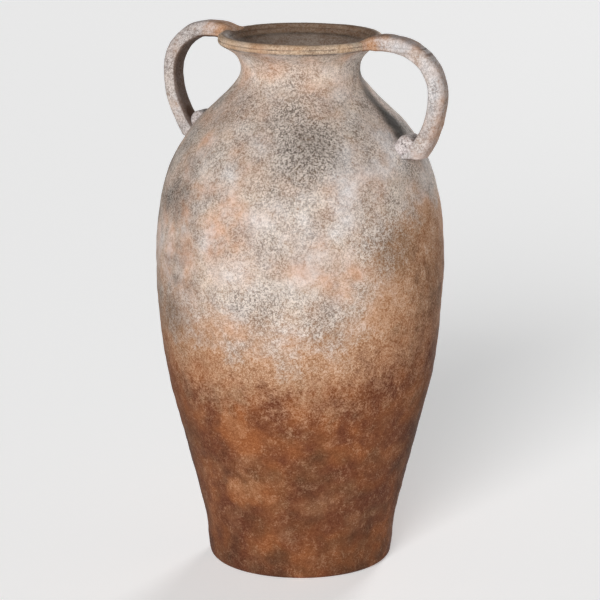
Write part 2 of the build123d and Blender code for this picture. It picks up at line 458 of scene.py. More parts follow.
turned = (b - a + 1) * COLS
foot_normals = NRM[a : b + 1].reshape(-1, 3)
on_edge = np.zeros(len(tris), bool)
on_edge[: len(edge)] = (edge < turned).all(axis=1)
corner[on_edge] = foot_normals[tris[on_edge]]
made["floor_disc"] = make_object("clay_floor_disc", v, [tris], corner_normals=corner.reshape(-1, 3))


# =====================================================================================
# Distance fields, for the handles and clay rolls that are worked into the wall
# =====================================================================================
GX, GZ, GSTEP = (38.0, 196.0), (430.0, 626.0), 0.5
gxs = np.arange(GX[0], GX[1] + 1e-6, GSTEP)
gzs = np.arange(GZ[0], GZ[1] + 1e-6, GSTEP)


def section_field():
    """Signed distance to the wall's section over a grid of radius and height."""
    ring = resample(whole, 0.9)
    ring = ring[ring[:, 1] > 400]
    qx, qz = np.meshgrid(gxs, gzs, indexing="ij")
    q = np.column_stack([qx.ravel(), qz.ravel()]).astype(np.float32)
    best = np.full(len(q), 1e9, np.float32)
    for k in range(len(ring) - 1):
        a, b = ring[k].astype(np.float32), ring[k + 1].astype(np.float32)
        ab = b - a
        t = np.clip(((q - a) @ ab) / (ab @ ab), 0, 1)
        dx = q[:, 0] - a[0] - t * ab[0]
        dz = q[:, 1] - a[1] - t * ab[1]
        best = np.minimum(best, dx * dx + dz * dz)
    dist = np.sqrt(best).reshape(qx.shape)
    a, b = whole[:-1], whole[1:]
    for j, z in enumerate(gzs):
        z = z + 1e-4
        hit = (a[:, 1] - z) * (b[:, 1] - z) < 0
        r = np.sort(a[hit, 0] + (z - a[hit, 1]) / (b[hit, 1] - a[hit, 1]) * (b[hit, 0] - a[hit, 0]))
        dist[np.searchsorted(r, gxs) % 2 == 1, j] *= -1
    return dist


WALL = section_field()


def lookup(table, x, z):
    fx = np.clip((x - GX[0]) / GSTEP, 0, len(gxs) - 1.001)
    fz = np.clip((z - GZ[0]) / GSTEP, 0, len(gzs) - 1.001)
    i, j = fx.astype(int), fz.astype(int)
    u, v = fx - i, fz - j
    return (
        table[i, j] * (1 - u) * (1 - v) + table[i + 1, j] * u * (1 - v)
        + table[i, j + 1] * (1 - u) * v + table[i + 1, j + 1] * u * v
    )


def wall_distance(p, fine=True):
    """Signed distance to the clay wall, with its hand-made relief."""
    r = np.hypot(p[:, 0], p[:, 1])
    z = p[:, 2]
    d0 = lookup(WALL, r, z)
    out = d0.astype(np.float64)
    near = np.abs(d0) < 6.0
    if near.any():
        rn, zn, dn = r[near], z[near], d0[near]
        gr = (lookup(WALL, rn + 0.5, zn) - lookup(WALL, rn - 0.5, zn))
        gz = (lookup(WALL, rn, zn + 0.5) - lookup(WALL, rn, zn - 0.5))
        g = np.hypot(gr, gz) + 1e-9
        r0, z0 = rn - gr / g * dn, zn - gz / g * dn
        s = r0 / np.maximum(rn, 1e-6)
        q = np.column_stack([p[near, 0] * s, p[near, 1] * s, z0])
        out[near] -= relief(q, fine)
    return out


def smin(a, b, k):
    h = np.clip(0.5 + 0.5 * (b - a) / k, 0, 1)
    return b * (1 - h) + a * h - k * h * (1 - h)


def smax(a, b, k):
    return -smin(-a, -b, k)


def step01(x, lo, hi):
    t = np.clip((x - lo) / (hi - lo), 0, 1)
    return t * t * (3 - 2 * t)


class Strap:
    """A pulled strap that follows a chain of tangent arcs in the plane y = 0."""

    START = (1.0, 0.30)

    def __init__(self, path, side, foot_z):
        self.side, self.foot_z = side, foot_z
        self.arcs, s = [], 0.0
        t = np.array(self.START) / math.hypot(*self.START)
        pts = [np.array(q, float) for q in path]
        self.p0, self.t0 = pts[0], t.copy()
        for a, b in zip(pts[:-1], pts[1:]):
            c = b - a
            left = np.array([-t[1], t[0]])
            radius = (c @ c) / (2 * (c @ left))
            centre = a + radius * left
            t1 = 2 * (c @ t) * c / (c @ c) - t
            turn = math.atan2(t[0] * t1[1] - t[1] * t1[0], t @ t1)
            span = abs(turn)
            self.arcs.append((centre, radius, math.atan2(*(a - centre)[::-1]), span, s, a, b))
            s += abs(radius) * span
            t = t1
        self.length = s
        qx, qz = np.meshgrid(gxs, gzs, indexing="ij")
        best = np.full(qx.shape, 1e9)
        self.off = np.zeros(qx.shape)
        self.run = np.zeros(qx.shape)
        for centre, radius, a0, span, s0, a, b in self.arcs:
            vx, vz = qx - centre[0], qz - centre[1]
            dist = np.hypot(vx, vz)
            ang = np.arctan2(vz, vx) - a0
            ang = (ang if radius > 0 else -ang + 0) % (2 * math.pi)
            ang = np.where(ang > math.pi + span / 2, ang - 2 * math.pi, ang)
            inside_span = (ang >= 0) & (ang <= span)
            off = (abs(radius) - dist) * (1 if radius > 0 else -1)
            da, db = np.hypot(qx - a[0], qz - a[1]), np.hypot(qx - b[0], qz - b[1])
            far = np.where(inside_span, np.abs(off), np.minimum(da, db))
            take = far < best
            best = np.where(take, far, best)
            self.off = np.where(take, off, self.off)
            self.run = np.where(take, s0 + np.clip(ang, 0, span) * abs(radius), self.run)

    def distance(self, p, fine=True):
        x, y, z = p[:, 0] * self.side, p[:, 1], p[:, 2]
        n, s = lookup(self.off, x, z), lookup(self.run, x, z)
        lip = 1 - step01(s, 4, 42)
        root = step01(s, self.length - 46, self.length - 8)
        half_t = 9.0 - 0.5 * lip + 0.8 * root
        half_w = 10.4 + 2.6 * lip + 1.3 * root
        corner = 3.4 + 3.4 * step01(n, -3.0, 3.0)
        ax, ay = np.abs(n) - (half_t - corner), np.abs(y) - (half_w - corner)
        out = np.hypot(np.maximum(ax, 0), np.maximum(ay, 0)) + np.minimum(np.maximum(ax, ay), 0) - corner
        start = (x - self.p0[0]) * self.t0[0] + (z - self.p0[1]) * self.t0[1]
        out = smax(out, 8.0 - start, 10.0)
        flat = self.foot_z + 0.35 * np.sin(y * 0.31 + 1.0)
        out = smax(out, flat - z, 1.3)
        out = out - 0.50 * noise(p, 34, 11 + self.side) - 0.28 * noise(p, 14, 14 + self.side)
        if fine:
            out = out - 0.12 * noise(p, 7.0, 17) - 0.07 * noise(p, 3.8, 18)
        return out


def union_k(z):
    """How softly strap and wall run together: a wide saddle at the lip, tight below."""
    return 2.4 + 6.0 * step01(z, 530, 582)


def roll_distance(p, side, at, half_len=13.0, radius=10.0, fine=True):
    """A short roll along Y with domed ends, and a small pressed mark on each end."""
    x, z = p[:, 0] * side - at[0], p[:, 2] - at[1]
    y = p[:, 1] - 0.4
    rr = np.hypot(x * 1.02, z)
    dome = 4.6
    ax, ay = rr - (radius - dome), np.abs(y) - (half_len - dome)
    out = np.hypot(np.maximum(ax, 0), np.maximum(ay, 0)) + np.minimum(np.maximum(ax, ay), 0) - dome
    if fine:
        ang = np.arctan2(z, x)
        turn = np.zeros_like(rr)
        for lap in (0.0, 1.0):
            g = 2.3 + 2.5 * ((ang + math.pi) / (2 * math.pi) + lap)
            turn = np.maximum(turn, np.exp(-(((rr - g) / 0.9) ** 2)) * (0.55 if lap else 0.8))
        end = step01(np.abs(y), half_len - 4.5, half_len - 1.5)
        out = out + 0.30 * turn * end
        u = np.clip((x + 2.4) / 5.0, 0, 1)
        bend = 0.9 - 2.1 * u + 1.5 * np.sin(u * 6.0) * 0.5
        near = np.exp(-(((z - bend) / 0.75) ** 2)) * (np.abs(x) < 3.2)
        out = out + 1.3 * near * end
        out = out - 0.30 * noise(p, 9, 21) - 0.12 * noise(p, 4, 22)
    return out


def surface_nets(field, origin, step):
    """A closed quad mesh of the zero level of a field sampled on a regular grid."""
    inside_ = field < 0
    nx, ny, nz = field.shape
    c = [inside_[i : nx - 1 + i, j : ny - 1 + j, k : nz - 1 + k] for i in (0, 1) for j in (0, 1) for k in (0, 1)]
    total = sum(a.astype(np.int8) for a in c)
    cell = (total > 0) & (total < 8)
    index = -np.ones(cell.shape, np.int64)
    where = np.argwhere(cell)
    index[cell] = np.arange(len(where))
    acc, count = np.zeros((len(where), 3)), np.zeros(len(where))
    corners = [(i, j, k) for i in (0, 1) for j in (0, 1) for k in (0, 1)]
    for a in range(8):
        for b in range(a + 1, 8):
            da = np.array(corners[b]) - np.array(corners[a])
            if np.abs(da).sum() != 1:
                continue
            ia, ib = where + corners[a], where + corners[b]
            fa, fb = field[tuple(ia.T)], field[tuple(ib.T)]
            cross = (fa < 0) != (fb < 0)
            t = np.where(cross, fa / np.where(cross, fa - fb, 1), 0)
            acc += np.where(cross[:, None], ia + t[:, None] * da, 0)
            count += cross
    verts = origin + step * acc / count[:, None]
    quads = []
    for axis in range(3):
        o = [0, 1, 2]
        o.remove(axis)
        lo = [slice(None)] * 3
        hi = [slice(None)] * 3
        lo[axis], hi[axis] = slice(0, -1), slice(1, None)
        f0, f1 = inside_[tuple(lo)], inside_[tuple(hi)]
        for flip, change in ((False, f0 & ~f1), (True, ~f0 & f1)):
            e = np.argwhere(change)
            e = e[(e[:, o[0]] > 0) & (e[:, o[1]] > 0)]
            e = e[(e[:, o[0]] < field.shape[o[0]] - 1) & (e[:, o[1]] < field.shape[o[1]] - 1)]
            u, v = np.zeros(3, int), np.zeros(3, int)
            u[o[0]], v[o[1]] = 1, 1
            ring = [e - u - v, e - v, e, e - u]
            q = np.column_stack([index[tuple(x.T)] for x in ring])
            even = axis != 1
            quads.append(q if (even != flip) else q[:, ::-1])
    return verts, np.concatenate(quads)


def one_lump(field, clear):
    """The field with every inside region but the largest one filled out."""
    inside_ = field < 0
    ids = -np.ones(field.shape, np.int64)
    ids[inside_] = np.arange(inside_.sum())
    pairs = []
    for axis in range(3):
        a = np.moveaxis(ids, axis, 0)
        both = (a[:-1] >= 0) & (a[1:] >= 0)
        pairs.append(np.column_stack([a[:-1][both], a[1:][both]]))
    pairs = np.concatenate(pairs)
    label = np.arange(inside_.sum())
    while True:
        a, b = label[pairs[:, 0]], label[pairs[:, 1]]
        if (a == b).all():
            break
        low = np.minimum(a, b)
        np.minimum.at(label, a, low)
        np.minimum.at(label, b, low)
        while (label[label] != label).any():
            label = label[label]
    out = field.copy()
    out[inside_] = np.where(label == np.bincount(label).argmax(), field[inside_], clear)
    return out


def gradient(fn, p, eps=0.35):
    g = np.zeros_like(p)
    for k in range(3):
        dp = np.zeros(3)
        dp[k] = eps
        g[:, k] = (fn(p + dp) - fn(p - dp)) / (2 * eps)
    return g


def carve(name, lo, hi, step, solid, shown):
    """Meshes the solid field, settles the vertices on it, and shades by the shown field."""
    axes = [np.arange(lo[k], hi[k] + step, step) for k in range(3)]
    gx, gy, gz = np.meshgrid(*axes, indexing="ij")
    flat = np.column_stack([gx.ravel(), gy.ravel(), gz.ravel()])
    values = np.empty(len(flat))
    for s in range(0, len(flat), 400000):
        values[s : s + 400000] = solid(flat[s : s + 400000], False)
    v, quads = surface_nets(one_lump(values.reshape(gx.shape), 0.5 * step), np.array(lo, float), step)
    for _ in range(3):
        f = solid(v, True)
        g = gradient(lambda q: solid(q, True), v)
        n2 = np.maximum(np.einsum("ij,ij->i", g, g), 0.25)
        v = v - np.clip(f / n2, -0.6, 0.6)[:, None] * g * 0.9
    normals = gradient(lambda q: shown(q, True), v)
    hidden = np.abs(shown(v, True)) > 0.35
    if hidden.any():
        normals[hidden] = gradient(lambda q: solid(q, True), v[hidden])
    normals /= np.linalg.norm(normals, axis=1, keepdims=True) + 1e-9
    return make_object(name, v, [quads], vertex_normals=normals)


RIGHT = Strap([(80.0, 589.0), (119.0, 593.0), (158.0, 574.5), (171.0, 541.0), (164.5, 507.0),
               (146.0, 475.0), (138.5, 464.0)], 1, 470.5)
LEFT = Strap([(80.0, 589.0), (116.5, 593.0), (153.2, 575.0), (166.0, 541.5), (159.5, 507.5),
              (139.5, 473.5), (132.0, 463.5)], -1, 470.5)
ROLLS = {1: (135.6, 485.9), -1: (126.6, 489.6)}


def handle_fields(strap):
    def shown(p, fine=True):
        return smin(strap.distance(p, fine), wall_distance(p, fine), union_k(p[:, 2]))

    def solid(p, fine=True):
        w = wall_distance(p, fine)
        f = smin(strap.distance(p, fine), w, union_k(p[:, 2]))
        return np.maximum(np.maximum(f, -w - 1.3), f - w + 0.05)

    return shown, solid


def roll_fields(strap, side):
    at = ROLLS[side]

    def parts(p, fine):
        w = wall_distance(p, fine)
        st = strap.distance(p, fine)
        roll = roll_distance(p, side, at, fine=fine)
        return np.minimum(smin(st, w, union_k(p[:, 2])), w), np.minimum(smin(roll, w, 5.0), smin(roll, st, 1.4))

    def shown(p, fine=True):
        return np.minimum(*parts(p, fine))

    def solid(p, fine=True):
        b, f = parts(p, fine)
        return np.maximum(np.maximum(f, -b - 1.2), f - b + 0.05)

    return shown, solid


for side, strap, word in ((1, RIGHT, "right"), (-1, LEFT, "left")):
    shown, solid = handle_fields(strap)
    xs = sorted((side * 66.0, side * 186.0))
    made[word + "_handle"] = carve("clay_%s_handle" % word, (xs[0], -24, 462), (xs[1], 24, 610), 0.9, solid, shown)
    shown, solid = roll_fields(strap, side)
    xs = sorted((side * 106.0, side * 160.0))
    made[word + "_handle_roll"] = carve("clay_%s_handle_roll" % word, (xs[0], -22, 466), (xs[1], 22, 508), 0.6, solid, shown)


# =====================================================================================
# Where the limewash, soot, warmth, chalk, stains and painted shade lie on the clay, kept on each mesh
# =====================================================================================
FRONT = math.radians(-60)

# soft patches: x, y, z (mm), radius, amount
SOOT = [
    (68, -96, 492, 34, 0.85), (36, -89, 516, 26, 0.55), (68, -118, 465, 22, 0.55), (-89, -124, 422, 24, 0.20),
    (-172, 0, 552, 18, 0.70), (149, -55, 380, 34, 0.60), (41, -154, 319, 26, 0.45), (102, -121, 301, 30, 0.55), (140, -7, 458, 14, 0.50), (-29, -81, 526, 24, 0.25), (51, -120, 474, 26, 0.30),
    (-95, -116, 431, 26, 0.55), (-92, -130, 300, 30, 0.55),
    (-34, -153, 278, 30, 0.30), (150, 20, 186, 46, 0.35), (117, 38, 488, 18, 0.85), (104, 20, 506, 16, 0.60),
    (112, 52, 150, 60, 0.35), (-88, -88, 160, 50, 0.35), (66, -112, 120, 22, 0.30), (-92, -58, 90, 40, 0.40),
    (-120, 96, 420, 40, 0.40), (-40, 152, 300, 46, 0.40), (-150, 30, 240, 40, 0.35), (60, 140, 380, 30, 0.35),
    (20, 120, 480, 34, 0.40), (-90, -20, 525, 26, 0.35), (-60, 100, 180, 50, 0.35), (0, 130, 130, 40, 0.30),
]
# painted shade among these: the run from the neck down the right shoulder under the right handle (the first ten and
# the wide one at 112, 40, 490), the crook between each roll and its strap (145, 0, 494 and -136, 0, 498), the thin
# shadow under the right strap's foot (144, -11, 467), and the two on the left flank near z 300
STAIN_AND_SHADE = [
    (60, 27, 562, 13, 0.70), (62, 26, 549, 12, 0.70), (72, 17, 541, 10, 0.60), (78, 14, 532, 11, 0.70),
    (86, 13, 525, 12, 0.80), (94, 13, 516, 13, 0.85), (102, 14, 508, 14, 0.95), (110, 14, 500, 15, 1.00),
    (117, 16, 493, 15, 1.00), (122, 6, 492, 8, 0.80), (112, 40, 490, 26, 0.40), (145, 0, 494, 9, 0.90),
    (-136, 0, 498, 9, 0.70), (-66, 14, 545, 14, 0.30), (-112, 26, 496, 16, 0.40), (144, -11, 467, 5, 0.50),
    (-70, -140, 297, 30, 0.26), (-100, -124, 300, 44, 0.24), (-89, -124, 422, 22, 0.14), (68, -96, 492, 26, 0.24),
    (149, -55, 380, 28, 0.14), (-63, -114, 140, 30, 0.30), (-40, -99, 46, 26, 0.30), (120, 96, 170, 60, 0.25), (-90, -88, 180, 44, 0.25), (-86, -60, 66, 44, 0.35),
    (64, -88, 24, 34, 0.25), (98, -40, 100, 34, 0.30),
]
WARM = [
    (148, -11, 474, 7, 1.00), (-64, -137, 427, 24, 0.80), (-36, -154, 389, 40, 0.45), (-5, -153, 420, 22, 0.35), (112, -114, 349, 26, 0.35),
    (148, -55, 330, 46, 0.60), (-100, -118, 350, 36, 0.40), (20, -84, 512, 20, 0.35), (0, -130, 478, 18, 0.35),
    (-22, -86, 522, 22, 0.25), (-62, -108, 462, 24, 0.50), (70, -60, 526, 18, 0.15),
    (-89, -124, 422, 28, 0.60), (-2, -155, 405, 26, 0.50), (-1, -140, 178, 26, 0.70), (-7, -121, 104, 22, 0.70), (-36, -142, 442, 18, 0.40),
    (-130, 60, 440, 40, 0.50), (40, 150, 420, 44, 0.45), (-60, 140, 380, 46, 0.45), (140, 70, 340, 44, 0.50),
    (-60, 40, 530, 26, 0.40),
]
CHALK = [
    (122, -26, 484, 20, 0.95), (135, -10, 464, 9, 0.95), (51, -118, 476, 14, 0.70), (14, -122, 488, 16, 0.45),
    (160, -11, 540, 16, 0.60), (172, -8, 552, 14, 0.40),
    (115, -72, 467, 34, 0.75), (78, -135, 398, 42, 0.40), (-8, -133, 470, 20, 0.40), (121, -5, 486, 20, 0.40),
    (34, -156, 370, 30, 0.30), (109, -104, 428, 26, 0.40), (3, -123, 112, 20, 0.70), (0, -140, 182, 16, 0.45),
    (119, -101, 275, 26, 0.30), (-110, 110, 380, 36, 0.40), (70, 130, 440, 40, 0.40), (-20, 150, 420, 30, 0.40),
]


def blot(p, wobble, table):
    out = np.zeros(len(p))
    for x, y, z, rad, amount in table:
        dist = np.linalg.norm(p - [x, y, z], axis=1) / rad + wobble
        out = 1 - (1 - out) * (1 - amount * (1 - step01(dist, 0.15, 1.45)))
    return out


def zones(p, side=0, roll=0):
    """Limewash, soot (with painted shade on the rolls), warmth, chalk, and dark stain with painted shade, at each
    point, 0 to 1.
    """
    z = p[:, 2]
    off = np.degrees(np.arctan2(p[:, 1], p[:, 0]) - FRONT)
    off = (off + 180) % 360 - 180
    n1, n2, n3 = noise(p, 95, 31), noise(p, 38, 32), noise(p, 15, 33)
    n4, n5 = noise(p, 7, 34), noise(p, 55, 35)
    wobble = 0.35 * n2 + 0.24 * n3 + 0.14 * n4
    # the wash thins out over the lower half, and is worn to half its depth on one flank
    down = z + 14 * n1 + 14 * n2 + 9 * n3 + 5 * n4
    left = np.sin(np.radians(np.clip(off, -90, 0))) ** 2
    wash = step01(down, 168 + 8 * left, 352 + 14 * left)
    worn = step01(off, 14, 44) * (1 - step01(off, 100, 150))
    wash = wash * (1 - worn * (0.50 + 0.14 * step01(off, 44, 66) + 0.10 * n2 + 0.08 * n3) * step01(440 - down, 0, 60))
    crest = step01(z, 440, 480) * (1 - step01(z, 525, 548))
    n6 = noise(p, 24, 39)
    soot_and_shade = 0.24 + 0.16 * crest + 0.14 * n1 + 0.28 * n2 + 0.26 * n3 + 0.08 * n4 + blot(p, wobble, SOOT)
    warm = 0.34 + 0.30 * n5 + 0.38 * noise(p, 26, 36) + 0.12 * n3 + blot(p, wobble, WARM)
    chalk = 0.18 + 0.30 * noise(p, 48, 37) + 0.36 * n6 + blot(p, wobble, CHALK)
    stain_and_shade = blot(p, 0.5 * wobble, STAIN_AND_SHADE)
    # orange where the wash ends, dark towards the foot, painted shade on both flanks as seen from the front, and
    # darker on the left flank of the upper body
    glow = step01(down, 136, 200) * (1 - step01(down, 250, 320))
    warm, soot_and_shade = warm + 0.16 * glow, soot_and_shade - 0.14 * glow
    flank = step01(np.abs(off), 42, 82) * (1 - step01(np.abs(off), 96, 140))
    upper = step01(-off, 26, 74) * (1 - step01(-off, 100, 140)) * step01(z, 240, 340) * (1 - step01(z, 440, 510))
    stain_and_shade = np.maximum(stain_and_shade, upper * (0.24 + 0.22 * n2 + 0.14 * n3))
    stain_and_shade = np.maximum(stain_and_shade, flank * (1 - step01(z, 300, 420)) * (0.38 + 0.14 * n2 + 0.08 * n3))
    stain_and_shade = np.maximum(stain_and_shade, (0.24 + 0.12 * n2 + 0.08 * n3) * (1 - step01(down, 50, 130)))
    # painted shade in the lip's fine turned line (z 589.9) and a painted shadow line under the lip band (z 584.8)
    lip = step01(z, 585.6, 586.2)
    stain_and_shade = np.maximum(stain_and_shade, lip * (0.45 + 0.3 * n3) * np.exp(-(((z - 589.9) / 0.5) ** 2)))
    stain_and_shade = np.maximum(stain_and_shade, (0.40 + 0.3 * n3) * np.exp(-(((z - 584.8) / 1.3) ** 2)))
    warm = warm + lip * 0.35 * (1 - step01(off, -30, 25))
    chalk = chalk + lip * (0.25 + 0.5 * n3) * step01(off, -15, 30)
    if side:
        strap = RIGHT if side > 0 else LEFT
        n, s = lookup(strap.off, p[:, 0] * side, z), lookup(strap.run, p[:, 0] * side, z)
        tan = 1 - step01(s + 5 * n3, 14, 44)
        wash, warm = wash * (1 - 0.46 * tan), warm + 0.35 * tan
        soot_and_shade = (soot_and_shade - 0.05) * (1 - 0.8 * tan)
        chalk = chalk + ((0.32 if side > 0 else 0.08) + 0.5 * n3) * (1 - tan) * (1 - 0.7 * step01(n + 3 * n3, 2, 8))
        on_strap = 1 - step01(s, strap.length - 22, strap.length - 6)
        if side > 0:
            edge = 0.14 + 0.36 * (1 - step01(s, 50, 90))
            # the band below z 471 is a painted shadow under the right strap's flat foot
            stain_and_shade = stain_and_shade + edge * step01(n + n3, 5.0, 8.6) * on_strap + 0.55 * (1 - step01(z, 470.6, 471.6))
            warm = warm + 0.4 * step01(n + 2 * n3, 2, 7)
        else:
            # the dark inner face of the left strap is painted shade, partly its own brown
            stain_and_shade = stain_and_shade + 0.85 * step01(-n, 5.5, 7.6) * on_strap + 0.22 * step01(n + n3, 6.0, 8.6) * on_strap
    if roll:
        x, h = p[:, 0] * roll - ROLLS[roll][0], z - ROLLS[roll][1]
        u = np.clip((x + 2.4) / 5.0, 0, 1)
        bend = 0.9 - 2.1 * u + 1.5 * np.sin(u * 6.0) * 0.5
        # painted shade in the pressed mark on each roll's end
        stain_and_shade = stain_and_shade * 0.5 + 0.9 * np.exp(-(((h - bend) / 0.8) ** 2)) * (np.abs(x) < 3.2) * (np.abs(p[:, 1]) > 9)
        # painted shade over the middle of each roll, through soot and stain; chalk on its ends
        shade = step01(p[:, 1], -9, -3) * (1 - step01(p[:, 1], 4, 10))
        chalk, soot_and_shade = chalk + 0.4 * (1 - shade), soot_and_shade + (0.3 if roll > 0 else 0.6) * shade
        stain_and_shade = stain_and_shade + (0.0 if roll > 0 else 0.16 + 0.40 * shade)
    return np.clip(np.column_stack([wash, soot_and_shade, warm, chalk, stain_and_shade]), 0, 1)


def paint(obj, side=0, roll=0):
    n = len(obj.data.vertices)
    co = np.empty(n * 3, np.float32)
    obj.data.vertices.foreach_get("co", co)
    zone = zones(co.reshape(-1, 3).astype(float) / MM, side, roll)
    one = np.ones(n)
    for name, cols in (("zones", zone[:, :3]), ("marks", zone[:, [3, 4, 4]])):
        layer = obj.data.color_attributes.new(name, "FLOAT_COLOR", "POINT")
        layer.data.foreach_set("color", np.column_stack([cols, one]).astype(np.float32).ravel())


SIDES = {"right_handle": (1, 0), "left_handle": (-1, 0), "right_handle_roll": (0, 1), "left_handle_roll": (0, -1)}
for node, obj in made.items():
    paint(obj, *SIDES.get(node, (0, 0)))


# =====================================================================================
# Materials
# =====================================================================================
def srgb(r, g, b):
    def lin(c):
        c /= 255.0
        return c / 12.92 if c <= 0.04045 else ((c + 0.055) / 1.055) ** 2.4

    return (lin(r), lin(g), lin(b), 1.0)


class Tree:
    def __init__(self, name):
        self.mat = bpy.data.materials.new(name)
        self.mat.use_nodes = True
        self.nodes, self.links = self.mat.node_tree.nodes, self.mat.node_tree.links
        self.nodes.clear()

    def put(self, socket, value):
        if isinstance(value, bpy.types.NodeSocket):
            self.links.new(value, socket)
        else:
            socket.default_value = value

    def math(self, op, a, b=0.0, clamp=False):
        node = self.nodes.new("ShaderNodeMath")
        node.operation, node.use_clamp = op, clamp
        self.put(node.inputs[0], a)
        self.put(node.inputs[1], b)
        return node.outputs[0]

    def sum(self, *terms):
        """Adds (weight, value) pairs and plain numbers."""
        out = None
        for term in terms:
            v = term
            if isinstance(term, tuple):
                v = self.math("MULTIPLY", term[1], term[0])
            out = v if out is None else self.math("ADD", out, v)
        return out

    def span(self, value, lo, hi, to_lo=0.0, to_hi=1.0, smooth=True):
        node = self.nodes.new("ShaderNodeMapRange")
        node.interpolation_type = "SMOOTHSTEP" if smooth else "LINEAR"
        self.put(node.inputs["Value"], value)
        for key, v in (("From Min", lo), ("From Max", hi), ("To Min", to_lo), ("To Max", to_hi)):
            self.put(node.inputs[key], v)
        return node.outputs["Result"]

    def mix(self, fac, a, b, blend="MIX"):
        node = self.nodes.new("ShaderNodeMix")
        node.data_type, node.blend_type = "RGBA", blend
        node.clamp_factor = True
        sockets = [s for s in node.inputs if s.enabled]
        self.put(sockets[0], fac)
        self.put(sockets[1], a)
        self.put(sockets[2], b)
        return [s for s in node.outputs if s.enabled][0]

    def noise(self, vec, size_mm, detail=3.0, rough=0.55, distort=0.0):
        node = self.nodes.new("ShaderNodeTexNoise")
        node.noise_dimensions = "3D"
        self.put(node.inputs["Vector"], vec)
        self.put(node.inputs["Scale"], 1000.0 / size_mm)
        self.put(node.inputs["Detail"], detail)
        self.put(node.inputs["Roughness"], rough)
        self.put(node.inputs["Distortion"], distort)
        return node.outputs["Fac"]

    def split(self, name):
        attr = self.nodes.new("ShaderNodeVertexColor")
        attr.layer_name = name
        parts = self.nodes.new("ShaderNodeSeparateColor")
        self.links.new(attr.outputs["Color"], parts.inputs[0])
        return parts.outputs


